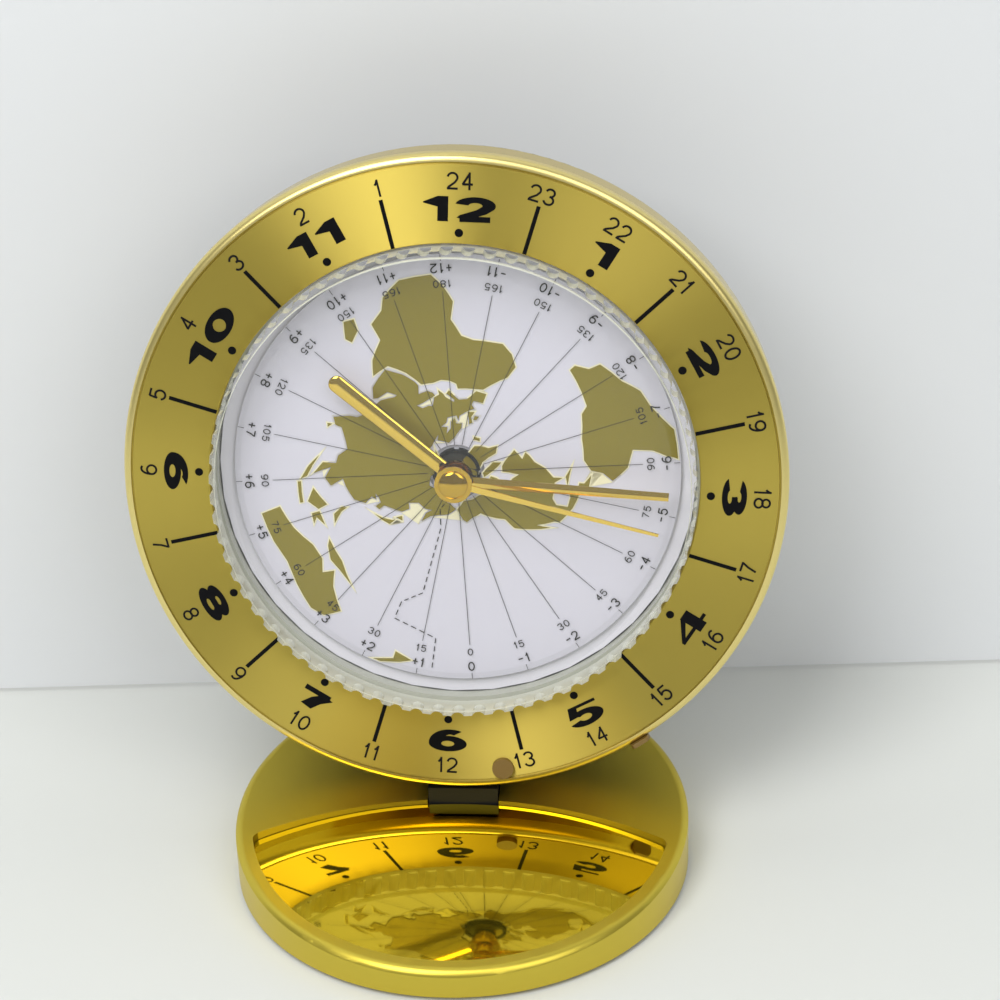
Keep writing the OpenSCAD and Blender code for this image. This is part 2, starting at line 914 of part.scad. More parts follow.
module movement_rear() {
    color([0.1, 0.1, 0.1])
        place_head()
            difference() {
                union() {
                    difference() {
                        translate([0, 0, move_back])
                            linear_extrude(split_z - move_back)
                                shell_plan(0);
                        translate([0, 0, shell_end])
                            linear_extrude(move_depth)
                                shell_plan(move_wall);
                    }
                    translate([-move_w / 2 + 0.5, bay_top, shell_end - 0.2])
                        cube([move_w - 1, bay_wall, split_z - shell_end]);
                    for (s = [-1, 1])
                        translate([s * (battery_len / 2 + 1.15) - 0.65, battery_y - 3, shell_end - 0.2])
                            cube([1.3, 6, 5]);
                    for (p = [[1, 1], [9, 1], [9, 8]])
                        translate([board_at[0] + p[0], board_at[1] + p[1], 0])
                            rod(0.8, shell_end - 0.2, board_z - 0.01);
                    for (p = [[rotor_at[0] - 5.5, rotor_at[1] - 2], [rotor_at[0] + 10, rotor_at[1] + 2]])
                        translate([p[0], p[1], 0])
                            rod(0.9, shell_end - 0.2, coil_z - 0.41);
                }
                translate([-battery_len / 2 - 1, battery_y - battery_r - 0.2, move_back - 1])
                    cube([battery_len + 2, 2 * battery_r + 0.5, move_wall + 2]);
                for (p = [[0, 0], third_at, step_at, rotor_at])
                    translate([p[0], p[1], 0])
                        rod(arbor_r + run, shell_end - 0.8, shell_end + 1);
                translate([setting_at[0], setting_at[1], 0])
                    rod(1.2 + run, move_back - 1, shell_end + 1);
            }
}

module hour_wheel() {
    color("white")
        place_head()
            difference() {
                union() {
                    wheel(40, hour_m, hour_tooth, hour_gear_z);
                    rod(hour_pipe_r, hour_gear_z, hour_z + hand_t);
                }
                rod(minute_pipe_r + run, hour_gear_z - 1, 3);
            }
}

module centre_wheel() {
    color("ivory")
        place_head()
            difference() {
                union() {
                    wheel(64, centre_m, centre_tooth, centre_z);
                    pinion(12, motion_m, 0, centre_z + gear_t - 0.01, motion_z - centre_z + 0.05);
                    rod(minute_pipe_r, centre_z, minute_z + hand_t);
                }
                rod(arbor_r + run, centre_z - 1, 3);
            }
}

module seconds_wheel() {
    color("ivory")
        place_head() {
            wheel(48, step_m, 0, seconds_z);
            pinion(8, third_m, 0, seconds_z + gear_t - 0.01, third_z - seconds_z + 0.1);
            rod(arbor_r, shell_end - 0.6, cap_z + 0.4);
        }
}

module third_wheel() {
    color("ivory")
        place_head()
            translate([third_at[0], third_at[1], 0]) {
                wheel(60, third_m, third_tooth, third_z);
                pinion(8, centre_m, third_tooth_turn(), third_z + gear_t - 0.01,
                    centre_z - third_z + 0.05);
                rod(arbor_r, shell_end - 0.6, shell_in + 0.6);
            }
}

// The third pinion shares its arbor's turn with the third wheel
function third_tooth_turn() = third_tooth;

module step_wheel() {
    color("ivory")
        place_head()
            translate([step_at[0], step_at[1], 0]) {
                wheel(40, step_m, step_tooth, step_z);
                pinion(8, step_m, step_tooth, step_z + gear_t - 0.01, seconds_z - step_z + 0.05);
                rod(arbor_r, shell_end - 0.6, shell_in + 0.6);
            }
}

module motion_wheel() {
    color("ivory")
        place_head()
            translate([motion_at[0], motion_at[1], 0])
                difference() {
                    union() {
                        wheel(36, motion_m, motion_tooth, motion_z);
                        pinion(10, hour_m, 0, motion_z + gear_t - 0.01,
                            hour_gear_z - motion_z + 0.05);
                    }
                    rod(0.8 + run, motion_z - 1, shell_in + 1);
                }
}

module rotor_pinion() {
    color("white")
        place_head()
            translate([rotor_at[0], rotor_at[1], 0]) {
                pinion(8, step_m, rotor_tooth, step_z, gear_t);
                rod(arbor_r, shell_end - 0.6, shell_in + 0.6);
            }
}

module rotor_magnet() {
    color("dimgray")
        place_head()
            translate([rotor_at[0], rotor_at[1], 0])
                ring(2.4, arbor_r + 0.01, coil_z - 1.2, coil_z + 1.2, $fn = 48);
}

module stator() {
    color("silver")
        place_head()
            translate([0, 0, coil_z - 0.4])
                linear_extrude(0.8)
                    difference() {
                        union() {
                            translate([rotor_at[0] - 7, rotor_at[1] - 3.8])
                                square([15, 7]);
                            translate([rotor_at[0] - 7, rotor_at[1] - 3.8])
                                square([3, coil_y - rotor_at[1] + 5.4]);
                            translate([rotor_at[0] + 8, rotor_at[1] - 0.8])
                                square([4, coil_y - rotor_at[1] + 2.4]);
                            translate([rotor_at[0] + 7, rotor_at[1] - 0.8])
                                square([4, 4]);
                        }
                        translate(rotor_at)
                            circle(r = 2.8, $fn = 48);
                    }
}

module coil_core() {
    color("silver")
        place_head()
            translate([rotor_at[0] - 6.6, coil_y - 1, coil_z - 1.3])
                cube([18.4, 2, 0.85]);
}

module coil() {
    color("peru")
        place_head()
            translate([rotor_at[0] - 3.6, coil_y, coil_z - 0.85])
                difference() {
                    union() {
                        rod_x(2.1, 0.6, 10.6);
                        rod_x(2.5, 0, 0.7);
                        rod_x(2.5, 10.5, 11.2);
                    }
                    translate([-1, -1.05, -0.5])
                        cube([14, 2.1, 1]);
                }
}

module circuit_board() {
    color("seagreen")
        place_head()
            translate([board_at[0], board_at[1], board_z])
                cube([10, 9, 1]);
}

module quartz_can() {
    color("silver")
        place_head()
            translate([board_at[0] + 2, board_at[1] + 4.5, board_z - 1.01])
                rod_x(1, 0, 6);
}

module battery() {
    color("steelblue")
        place_head()
            translate([0, battery_y, battery_z]) {
                rod_x(battery_r, -battery_len / 2, battery_len / 2 - 1.2);
                rod_x(1.9, battery_len / 2 - 1.3, battery_len / 2);
            }
}

module battery_contacts() {
    color("silver")
        place_head()
            for (s = [-1, 1])
                translate([s * (battery_len / 2 + 0.3) - 0.15, battery_y - 3.5, shell_end + 0.4])
                    cube([0.3, 7, move_depth - 2 * move_wall - 1]);
}

module setting_pinion() {
    color("ivory")
        place_head()
            translate([setting_at[0], setting_at[1], 0]) {
                pinion(12, motion_m, setting_tooth, motion_z, gear_t);
                rod(arbor_r, motion_z, shell_in + 0.6);
                rod(1.2, cover_out - knob_out + 1, motion_z + 0.01);
            }
}

module setting_knob() {
    color([0.15, 0.15, 0.15])
        place_head()
            translate([setting_at[0], setting_at[1], 0])
                difference() {
                    rod(knob_r, cover_out - knob_out, cover_in - gap);
                    rod(1.21, cover_out - knob_out + 1, cover_in + 1);
                    around(24, knob_r + 0.35)
                        rod(0.6, cover_out - knob_out - 1, cover_out - gap);
                }
}

base_body();
mirror_plate();
base_weight();
weight_screws();
base_pad();
hinge_block();
block_screws();
hinge_bracket();
bracket_screws();
hinge_pin();
dial_ring();
rubber_bumpers();
case_drum();
retainer_ring();
retainer_screws();
movement_carrier();
carrier_screws();
crystal();
map_disc();
mount_nut();
movement_front();
movement_rear();
hour_wheel();
hour_hand();
centre_wheel();
minute_hand();
seconds_wheel();
second_hand();
hand_cap();
third_wheel();
motion_wheel();
step_wheel();
rotor_pinion();
rotor_magnet();
stator();
coil_core();
coil();
circuit_board();
quartz_can();
battery();
battery_contacts();
setting_pinion();
setting_knob();
rear_cover();
cover_screws();
battery_door();
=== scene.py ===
"""Looks for the world time clock: metals, printed dial and map, lights, floor and camera."""

import math

import bmesh
import bpy
from mathutils import Matrix, Vector


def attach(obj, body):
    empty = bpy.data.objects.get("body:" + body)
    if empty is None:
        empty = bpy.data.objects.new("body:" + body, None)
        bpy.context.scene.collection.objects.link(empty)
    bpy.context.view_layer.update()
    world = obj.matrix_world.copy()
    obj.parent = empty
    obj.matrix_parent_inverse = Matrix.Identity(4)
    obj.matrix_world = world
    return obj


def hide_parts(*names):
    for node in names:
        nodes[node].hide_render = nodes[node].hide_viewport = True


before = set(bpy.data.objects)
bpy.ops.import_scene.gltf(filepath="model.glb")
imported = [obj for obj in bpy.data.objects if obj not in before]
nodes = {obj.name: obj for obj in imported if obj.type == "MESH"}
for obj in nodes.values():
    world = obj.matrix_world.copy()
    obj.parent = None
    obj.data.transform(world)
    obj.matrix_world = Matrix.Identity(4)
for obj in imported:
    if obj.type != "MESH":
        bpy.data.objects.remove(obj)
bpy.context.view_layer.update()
MM = 0.001

# The dial's place: its middle, its lean back from upright and its turn, seen from the front
LEAN = math.radians(9.7)
DIAL_TURN = math.radians(2.6)
RIGHT = Vector((1, 0, 0))
UP = Vector((0, math.sin(LEAN), math.cos(LEAN)))
NORMAL = Vector((0, -math.cos(LEAN), math.sin(LEAN)))
FACE = Vector((0, 9.593, 61.624)) * MM

# Depths in front of the dial's face and radii in the dial's plane, in millimetres
MAP_FACE = -5.8
DISC_R = 33.85
DISC_HOLE = 4.4
CRYSTAL_INNER, CRYSTAL_OUTER = 34.5, 36.5


def dial_matrix(depth=0.0):
    """Takes the dial's own plane, with 12 at the top and millimetres as units, to the part's frame."""
    up = math.cos(DIAL_TURN) * UP + math.sin(DIAL_TURN) * RIGHT
    right = math.cos(DIAL_TURN) * RIGHT - math.sin(DIAL_TURN) * UP
    place = Matrix.Translation(FACE + NORMAL * depth * MM)
    axes = Matrix((right, up, NORMAL)).transposed().to_4x4()
    return place @ axes @ Matrix.Scale(MM, 4)


def clock_point(radius, hour):
    """A point of the dial's plane at that radius and place on a twelve-hour dial."""
    a = math.radians(hour * 30)
    return radius * math.sin(a), radius * math.cos(a)


def put_in_scene(name, data):
    """A new object with that name and mesh, curve, lamp or camera."""
    obj = bpy.data.objects.new(name, data)
    bpy.context.scene.collection.objects.link(obj)
    return obj


# Materials


def principled(name, color, roughness=0.5, metallic=0.0, **more):
    """A material of one even colour. Further words name the shader's other sockets."""
    mat = bpy.data.materials.new(name)
    mat.use_nodes = True
    shader = mat.node_tree.nodes["Principled BSDF"]
    shader.inputs["Base Color"].default_value = (*color, 1)
    shader.inputs["Roughness"].default_value = roughness
    shader.inputs["Metallic"].default_value = metallic
    for key, value in more.items():
        shader.inputs[key.replace("_", " ")].default_value = value
    return mat


def srgb(r, g, b):
    """A colour given on the 0 to 255 scale, as linear light."""
    def lin(c):
        c /= 255
        return c / 12.92 if c <= 0.04045 else ((c + 0.055) / 1.055) ** 2.4
    return lin(r), lin(g), lin(b)


INK = principled("ink", srgb(9, 9, 12), 0.5, Specular_IOR_Level=0.1)
INK_THIN = principled("ink_thin", srgb(24, 22, 24), 0.5, Specular_IOR_Level=0.1)
GOLD = principled("polished_gold", srgb(214, 190, 92), 0.14, 1.0)
HAND_GOLD = principled("hand_gold", srgb(228, 194, 84), 0.1, 1.0)
# The cap's gold is darker than the hands' gold as painted shade, standing in for the dark reflection on its
# dome
CAP_GOLD_PAINTED_SHADE = principled("cap_gold_painted_shade", srgb(196, 160, 52), 0.06, 1.0)
SATIN = principled("satin_base", srgb(210, 190, 74), 0.36, 1.0)
# The rim's gold is the brass painted paler, as a painted reflection of the bright wall in its polished edge
RIM_GOLD_PAINTED_SHEEN = principled("rim_gold_painted_sheen", srgb(232, 214, 140), 0.32, 1.0)
MIRROR = principled("mirror_gold", srgb(216, 190, 50), 0.03, 1.0)
STEEL = principled("steel", srgb(190, 190, 190), 0.3, 1.0)
BLACK = principled("black_plastic", srgb(22, 22, 22), 0.5)
BLACK_METAL = principled("black_metal", srgb(18, 18, 18), 0.3)
NUT_BLACK = principled("nut_black", srgb(8, 7, 9), 0.5, Specular_IOR_Level=0.1)
FELT = principled("felt", srgb(25, 40, 28), 0.95)
BUMPER = principled("bumper", srgb(146, 116, 58), 0.35, Transmission_Weight=0.3)
# The margin is the map's print painted lighter, as painted light that cancels the shade the ring casts into
# the recess
PAINTED_LIGHT_MARGIN = principled("map_margin_painted_light", srgb(240, 238, 248), 0.5)
LAVENDER = principled("map_print", srgb(212, 210, 222), 0.45)
LAND = principled("map_land", srgb(138, 124, 14), 0.32, 0.35)
LAND_EDGE = principled("map_land_edge", srgb(238, 232, 196), 0.4)
WHITE_PLASTIC = principled("white_plastic", srgb(225, 222, 210), 0.5)
COPPER = principled("copper", srgb(190, 110, 60), 0.35, 1.0)
BOARD = principled("board", srgb(30, 90, 50), 0.4)
JACKET = principled("battery_jacket", srgb(60, 80, 120), 0.35)
LENS = principled("crystal_front", (0.97, 1.0, 0.98), 0.02, Alpha=0.03)
RIM = principled("crystal_rim", srgb(232, 234, 218), 0.1, Alpha=0.68)


def brushed_brass():
    """Brass turned in a lathe: its fine rings spread each light into a ray across the ring."""
    mat = principled("brushed_brass", srgb(206, 184, 88), 0.42, 1.0, Anisotropic=1.0)
    tree = mat.node_tree
    shader = tree.nodes["Principled BSDF"]
    tangent = tree.nodes.new("ShaderNodeTangent")
    tangent.direction_type = "UV_MAP"
    tree.links.new(tangent.outputs["Tangent"], shader.inputs["Tangent"])
    return mat


FINISH_OF = {
    "base_body": SATIN, "mirror_plate": MIRROR, "base_pad": FELT,
    "hinge_block": BLACK, "hinge_bracket": BLACK_METAL, "mount_nut": NUT_BLACK,
    "rubber_bumpers": BUMPER, "case_drum": GOLD, "map_disc": LAVENDER,
    "hour_hand": HAND_GOLD, "minute_hand": HAND_GOLD, "second_hand": HAND_GOLD, "hand_cap": CAP_GOLD_PAINTED_SHADE,
    "movement_front": BLACK, "movement_rear": BLACK, "setting_knob": BLACK, "rear_cover": BLACK,
    "battery_door": BLACK, "coil": COPPER, "circuit_board": BOARD, "battery": JACKET,
}
for wheel in ("hour", "centre", "seconds", "third", "motion", "step"):
    FINISH_OF[wheel + "_wheel"] = WHITE_PLASTIC
FINISH_OF["rotor_pinion"] = FINISH_OF["setting_pinion"] = WHITE_PLASTIC


def paint(obj, mat):
    """Gives the object that one material."""
    obj.data.materials.clear()
    obj.data.materials.append(mat)


for name, node in nodes.items():
    paint(node, FINISH_OF.get(name, STEEL))

# A face of the crystal counts as level within this height, and the pipes are brass from this depth on
LEVEL_WITHIN = 0.05
PIPES_FROM = -6


def clear_crystal():
    """Makes the crystal clear over the map, with a whiter fluted wall that catches the light."""
    crystal = nodes["crystal"]
    paint(crystal, RIM)
    crystal.data.materials.append(LENS)
    to_dial = dial_matrix().inverted() @ crystal.matrix_world
    for face in crystal.data.polygons:
        corners = [to_dial @ crystal.data.vertices[i].co for i in face.vertices]
        reach = max(corner.to_2d().length for corner in corners)
        level = max(corner.z for corner in corners) - min(corner.z for corner in corners) < LEVEL_WITHIN
        if reach < CRYSTAL_INNER or level and reach < CRYSTAL_OUTER:
            face.material_index = 1


def brass_pipes():
    """Makes the pipes of the wheels brass where they come through the map."""
    for name in ("hour_wheel", "centre_wheel", "seconds_wheel"):
        pipe = nodes[name]
        pipe.data.materials.append(HAND_GOLD)
        to_dial = dial_matrix().inverted() @ pipe.matrix_world
        for face in pipe.data.polygons:
            if max((to_dial @ pipe.data.vertices[i].co).z for i in face.vertices) > PIPES_FROM:
                face.material_index = 1


clear_crystal()
brass_pipes()


# Dial ring: a finely turned one in place of the plain one, with the directions that its brushing follows


def lathe(name, profile, mat, steps=256):
    """Turns a closed profile of (radius, depth) points round the dial's axis."""
    count = len(profile)
    verts, faces, loops = [], [], []
    for i in range(steps):
        a = 2 * math.pi * i / steps
        verts += [(r * math.cos(a), r * math.sin(a), z) for r, z in profile]
    for i in range(steps):
        j = (i + 1) % steps
        for k in range(count):
            m = (k + 1) % count
            faces.append((i * count + k, i * count + m, j * count + m, j * count + k))
            loops += [(k, i), (k + 1, i), (k + 1, i + 1), (k, i + 1)]
    mesh = bpy.data.meshes.new(name)
    mesh.from_pydata(verts, [], faces)
    layer = mesh.uv_layers.new(name="turning")
    for loop, (u, v) in enumerate(loops):
        layer.data[loop].uv = (u / count, v / steps)
    mesh.transform(dial_matrix())
    mesh.update()
    obj = put_in_scene(name, mesh)
    paint(obj, mat)
    mesh.shade_smooth()
    mesh.set_sharp_from_angle(angle=math.radians(30))
    return obj


def arc(cx, cz, radius, start, end, steps):
    """Points of a rounded edge in a profile, angles in degrees."""
    points = []
    for i in range(steps + 1):
        a = math.radians(start + (end - start) * i / steps)
        points.append((cx + radius * math.cos(a), cz + radius * math.sin(a)))
    return points


# The opening's wall, the flat face, a fine groove and the rounded edge, from the inside out
RING_PROFILE = (
    [(36.8, -2.4), (36.8, -0.12), (36.92, 0.0), (48.45, 0.0), (48.55, -0.3), (48.75, -0.3), (48.8, -0.06)]
    + arc(48.8, -1.26, 1.2, 90, 0, 8)
    + [(50.0, -2.4)]
)
# The profile's edges from this one on are the polished rim, whose paler gold is a painted reflection of the
# bright wall
FIRST_RIM_EDGE = 6
ring_face = lathe("ring_face", RING_PROFILE, brushed_brass())
ring_face.data.materials.append(RIM_GOLD_PAINTED_SHEEN)
for i, face in enumerate(ring_face.data.polygons):
    if i % len(RING_PROFILE) >= FIRST_RIM_EDGE:
        face.material_index = 1
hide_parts("dial_ring")
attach(ring_face, "head")


# Print on the dial and the map


# Corners of a print that lie this close together are joined
WELD = 0.002


def mesh_of(obj):
    """Turns a curve object into a mesh object with the same name and its sides joined to its fill."""
    graph = bpy.context.evaluated_depsgraph_get()
    mesh = bpy.data.meshes.new_from_object(obj.evaluated_get(graph))
    joined = bmesh.new()
    joined.from_mesh(mesh)
    bmesh.ops.remove_doubles(joined, verts=joined.verts, dist=WELD)
    joined.to_mesh(mesh)
    joined.free()
    name = obj.name
    bpy.data.objects.remove(obj)
    return put_in_scene(name, mesh)


def finish_print(name, meshes, depth, mat, body):
    """Joins flat meshes of the dial's plane into one thin print that rides on a body."""
    joined = bpy.data.meshes.new(name)
    verts, faces = [], []
    for mesh in meshes:
        start = len(verts)
        verts += [tuple(v.co) for v in mesh.vertices]
        faces += [tuple(start + i for i in p.vertices) for p in mesh.polygons]
    joined.from_pydata(verts, [], faces)
    joined.transform(dial_matrix(depth))
    joined.update()
    obj = put_in_scene(name, joined)
    paint(obj, mat)
    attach(obj, body)


def oval(x, y, rx, ry, start, end):
    """Points along an oval from one angle to another, in degrees."""
    count = max(4, round(abs(end - start) / 10))
    angles = [math.radians(start + (end - start) * i / count) for i in range(count + 1)]
    return [(x + rx * math.cos(a), y + ry * math.sin(a)) for a in angles]


# Strokes of each digit in a box from -1 to 1
STROKES = {
    "0": [oval(0, 0, 1, 1, 90, 450)],
    "1": [[(0.35, -1), (0.35, 1)], [(-0.85, 0.42), (-0.3, 0.6), (0.1, 0.85), (0.35, 1)]],
    "2": [oval(0, 0.42, 1, 0.58, 172, -22) + [(0.45, -0.22), (-0.75, -0.78), (-0.95, -1)],
          [(-1.15, -1), (1.1, -1)]],
    "3": [oval(-0.02, 0.51, 0.9, 0.49, 165, -90), oval(0, -0.47, 1, 0.53, 90, -168)],
    "4": [[(0.45, -1), (0.45, 1)], [(0.45, 0.95), (-0.95, -0.4)], [(-1.05, -0.4), (1.15, -0.4)]],
    "5": [[(0.95, 1), (-0.8, 1)], [(-0.7, 1), (-0.84, -0.02)], oval(0, -0.34, 1, 0.66, 152, -162)],
    "6": [oval(0, -0.38, 1, 0.62, 90, 450), oval(0.2, -0.3, 1.2, 1.3, 180, 62)],
    "7": [[(-1.1, 1), (1.1, 1)], [(0.95, 1), (0.2, 0.1), (-0.3, -1)]],
    "8": [oval(0, 0.5, 0.88, 0.5, 90, 450), oval(0, -0.47, 1, 0.53, 90, 450)],
    "+": [[(-1.2, 0), (1.2, 0)], [(0, -0.62), (0, 0.62)]],
    "-": [[(-1.1, 0), (1.1, 0)]],
}
# Bold digits that are filled outlines in the same box, and the strokes that some of them also have
BOLD = {
    "1": [[(-1, 0.42), (-1, 0.52), (0.15, 1), (1, 1), (1, -1), (0.15, -1), (0.15, 0.15)]],
    "4": [[(0.05, -1), (0.66, -1), (0.66, 1), (0.05, 1)],
          [(-1, -0.3), (-0.66, -0.3), (0.1, 0.5), (0.1, 1)],
          [(-1, -0.58), (1, -0.58), (1, -0.28), (-1, -0.28)]],
    "5": [[(-0.68, 1), (0.86, 1), (0.86, 0.74), (-0.68, 0.74)],
          [(-0.68, 1), (-0.2, 1), (-0.36, 0), (-0.88, -0.06)]],
}
BOLD_LINES = {"5": [oval(0, -0.34, 1, 0.66, 138, -162)]}
STROKES["9"] = [[(-x, -y) for x, y in line] for line in STROKES["6"]]
# Share of a full digit's width that the narrow characters take
NARROW = {"1": 0.62, "+": 0.8, "-": 0.8}
# Each stroke of a number lies this much higher than the last, so that crossing strokes don't share a plane
STROKE_STEP = 0.01


def stroke(points, width):
    """A band of even width along a line of points, as a mesh."""
    points = [Vector(p) for p in points]
    closed = (points[0] - points[-1]).length < 1e-6
    if closed:
        points.pop()
    count = len(points)
    verts = []
    for i, point in enumerate(points):
        before = point - points[i - 1] if i or closed else points[1] - point
        after = points[(i + 1) % count] - point if i < count - 1 or closed else before
        side = (before.normalized() + after.normalized()).normalized().orthogonal()
        half = width / 2 / max(0.5, side.dot(after.normalized().orthogonal()))
        verts += [(*(point + side * half), 0), (*(point - side * half), 0)]
    faces = []
    for i in range(count if closed else count - 1):
        j = (i + 1) % count
        faces.append((2 * i, 2 * i + 1, 2 * j + 1, 2 * j))
    mesh = bpy.data.meshes.new("stroke")
    mesh.from_pydata(verts, [], faces)
    return mesh


def number(text, height, width, line, gap, x, y, turn, stretch=1.0):
    """The strokes of a number centred on x, y and turned anticlockwise, in degrees.

    Stretch widens the finished digits, so their upright strokes grow thicker than their level ones.
    """
    widths = [width * NARROW.get(c, 1) for c in text]
    left = -(sum(widths) + gap * (len(text) - 1)) / 2
    meshes = []
    for char, wide in zip(text, widths):
        half_w = (wide / stretch - line) / 2
        half_h = (height - line) / 2
        bold = char in BOLD and stretch > 1
        shapes = [flat_shape([(px * wide / stretch / 2, py * height / 2) for px, py in outline])
                  for outline in (BOLD[char] if bold else [])]
        for points in BOLD_LINES.get(char, []) if bold else STROKES[char]:
            points = [Vector((px * half_w, py * half_h)) for px, py in points]
            if len(points) == 2:
                reach = (points[1] - points[0]).normalized() * line / 2
                upright = abs(reach.x) < 1e-6
                points = [points[0] - reach * upright, points[1] + reach * upright]
            shapes.append(stroke(points, line))
        for mesh in shapes:
            mesh.transform(Matrix.Diagonal((stretch, 1, 1, 1)))
            mesh.transform(Matrix.Translation((left + wide / 2, 0, len(meshes) * STROKE_STEP)))
            mesh.transform(Matrix.Translation((x, y, 0)) @ Matrix.Rotation(math.radians(turn), 4, "Z"))
            meshes.append(mesh)
        left += wide + gap
    return meshes


def flat_shape(points):
    """A filled outline of the dial's plane as a mesh."""
    mesh = bpy.data.meshes.new("shape")
    mesh.from_pydata([(x, y, 0) for x, y in points], [], [tuple(range(len(points)))])
    return mesh


def bar(r_in, r_out, hour, width):
    """A straight radial line from r_in to r_out."""
    a = math.radians(hour * 30)
    along, across = Vector((math.sin(a), math.cos(a))), Vector((math.cos(a), -math.sin(a)))
    corners = [along * r_in + across * width / 2, along * r_out + across * width / 2,
               along * r_out - across * width / 2, along * r_in - across * width / 2]
    return flat_shape([tuple(c) for c in corners])


def dot(x, y, radius, sides=32):
    """A filled round dot."""
    angles = [2 * math.pi * i / sides for i in range(sides)]
    return flat_shape([(x + radius * math.cos(a), y + radius * math.sin(a)) for a in angles])


def upright_turn(hour, inward):
    """Turn of a numeral at that hour: tops point outward, or inward on the dial's lower part."""
    return -hour * 30 + (180 if inward else 0)


# The print's rise above the ring, and each kind of number as height, width of a digit, line and gap
PRINT_RISE = 0.02
HOUR_R, HOUR_TYPE, HOUR_STRETCH = 41.9, (3.7, 5.9, 0.84, 1.0), 2.3
DAY_R, DAY_TYPE = 46.05, (2.6, 1.72, 0.32, 0.42)
DOT_R, DOT_SIZE = 38.4, 0.62
HALF_IN, HALF_OUT, HALF_WIDE = 36.9, 44.3, 0.6

hour_print = []
for hour in range(1, 13):
    turn = upright_turn(hour, 4 <= hour <= 8)
    hour_print += number(str(hour), *HOUR_TYPE, *clock_point(HOUR_R, hour), turn, HOUR_STRETCH)
    hour_print.append(dot(*clock_point(DOT_R, hour), DOT_SIZE))
    hour_print.append(bar(HALF_IN, HALF_OUT, hour + 0.5, HALF_WIDE))
finish_print("hour_print", hour_print, PRINT_RISE, INK, "head")

day_print = []
for figure in range(1, 25):
    hour = (24 - figure) / 2
    turn = upright_turn(hour, 7 <= figure <= 17)
    day_print += number(str(figure), *DAY_TYPE, *clock_point(DAY_R, hour), turn)
finish_print("day_print", day_print, PRINT_RISE, INK_THIN, "head")


# Hour hand: a bar with a rounded face, in place of the flat one

# The shown time is 10:15:17, as in the part's own pose at rest
HOUR_ANGLE = math.radians(30 * (10 + 15 / 60 + 17 / 3600))
HOUR_TIP, HOUR_WIDE, HOUR_TALL, HOUR_DEPTH = 24.0, 2.7, 0.4, -2.9
# The bar's share of its width at the hub, and its rise and height within the hand's own thickness
HOUR_ROOT, BAR_RISE, BAR_TALL = 0.86, 0.02, HOUR_TALL - 0.03
PIPE_R = 1.9
HUB_PROFILE = [(PIPE_R + 0.01, HOUR_DEPTH - 0.8), (PIPE_R + 0.01, HOUR_DEPTH + HOUR_TALL),
               (PIPE_R + 0.85, HOUR_DEPTH + HOUR_TALL), (PIPE_R + 0.85, HOUR_DEPTH),
               (PIPE_R + 0.4, HOUR_DEPTH), (PIPE_R + 0.4, HOUR_DEPTH - 0.8)]


def tube_faces(rings, count, first=0):
    """Quads between neighbouring closed rings of that many points."""
    return [(first + i * count + k, first + i * count + (k + 1) % count,
             first + (i + 1) * count + (k + 1) % count, first + (i + 1) * count + k)
            for i in range(rings - 1) for k in range(count)]


def finish_turned(name, verts, faces, turn, mat, node, body):
    """Makes the brass piece that takes a node's place, turned clockwise from 12 and riding on its body."""
    mesh = bpy.data.meshes.new(name)
    mesh.from_pydata(verts, [], faces)
    if turn:
        mesh.transform(Matrix.Rotation(-turn, 4, "Z"))
    mesh.transform(dial_matrix())
    mesh.shade_smooth()
    mesh.set_sharp_from_angle(angle=math.radians(40))
    obj = put_in_scene(name, mesh)
    paint(obj, mat)
    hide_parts(node)
    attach(obj, body)


def hour_bar():
    """A rounded bar from the hub to a rounded tip, and the hub on its pipe, as one mesh."""
    across = 12
    middle = HOUR_TIP - HOUR_WIDE / 2
    stations = [(PIPE_R + 0.3, HOUR_ROOT, 1.0), (middle, 1.0, 1.0)]
    for i in range(1, 9):
        a = math.radians(i * 89 / 8)
        stations.append((middle + math.sin(a) * HOUR_WIDE / 2, math.cos(a), math.cos(a)))
    verts = []
    for along, wide, tall in stations:
        for i in range(across + 1):
            a = math.pi * i / across
            verts.append((-math.cos(a) * wide * HOUR_WIDE / 2, along,
                          HOUR_DEPTH + BAR_RISE + math.sin(a) * tall * BAR_TALL))
    faces = tube_faces(len(stations), across + 1)
    faces += [tuple(reversed(range(across + 1))), tuple(range(len(verts) - across - 1, len(verts)))]
    hub = len(verts)
    turns = 64
    for i in range(turns):
        a = 2 * math.pi * i / turns
        verts += [(r * math.cos(a), r * math.sin(a), z) for r, z in HUB_PROFILE]
    count = len(HUB_PROFILE)
    faces += [tuple(hub + (v - hub) % (turns * count) for v in face)
              for face in tube_faces(turns + 1, count, hub)]
    finish_turned("hour_bar", verts, faces, HOUR_ANGLE, HAND_GOLD, "hour_hand", "hour_group")


hour_bar()


# Cap: a low dome in place of the flat-topped disc

CAP_R, CAP_EDGE, DOME_TALL, POLE = 2.2, 0.77, 0.56, 1.34
FOOT_R, FOOT_BASE, FOOT_TOP = 2.84, 0.32, 0.6


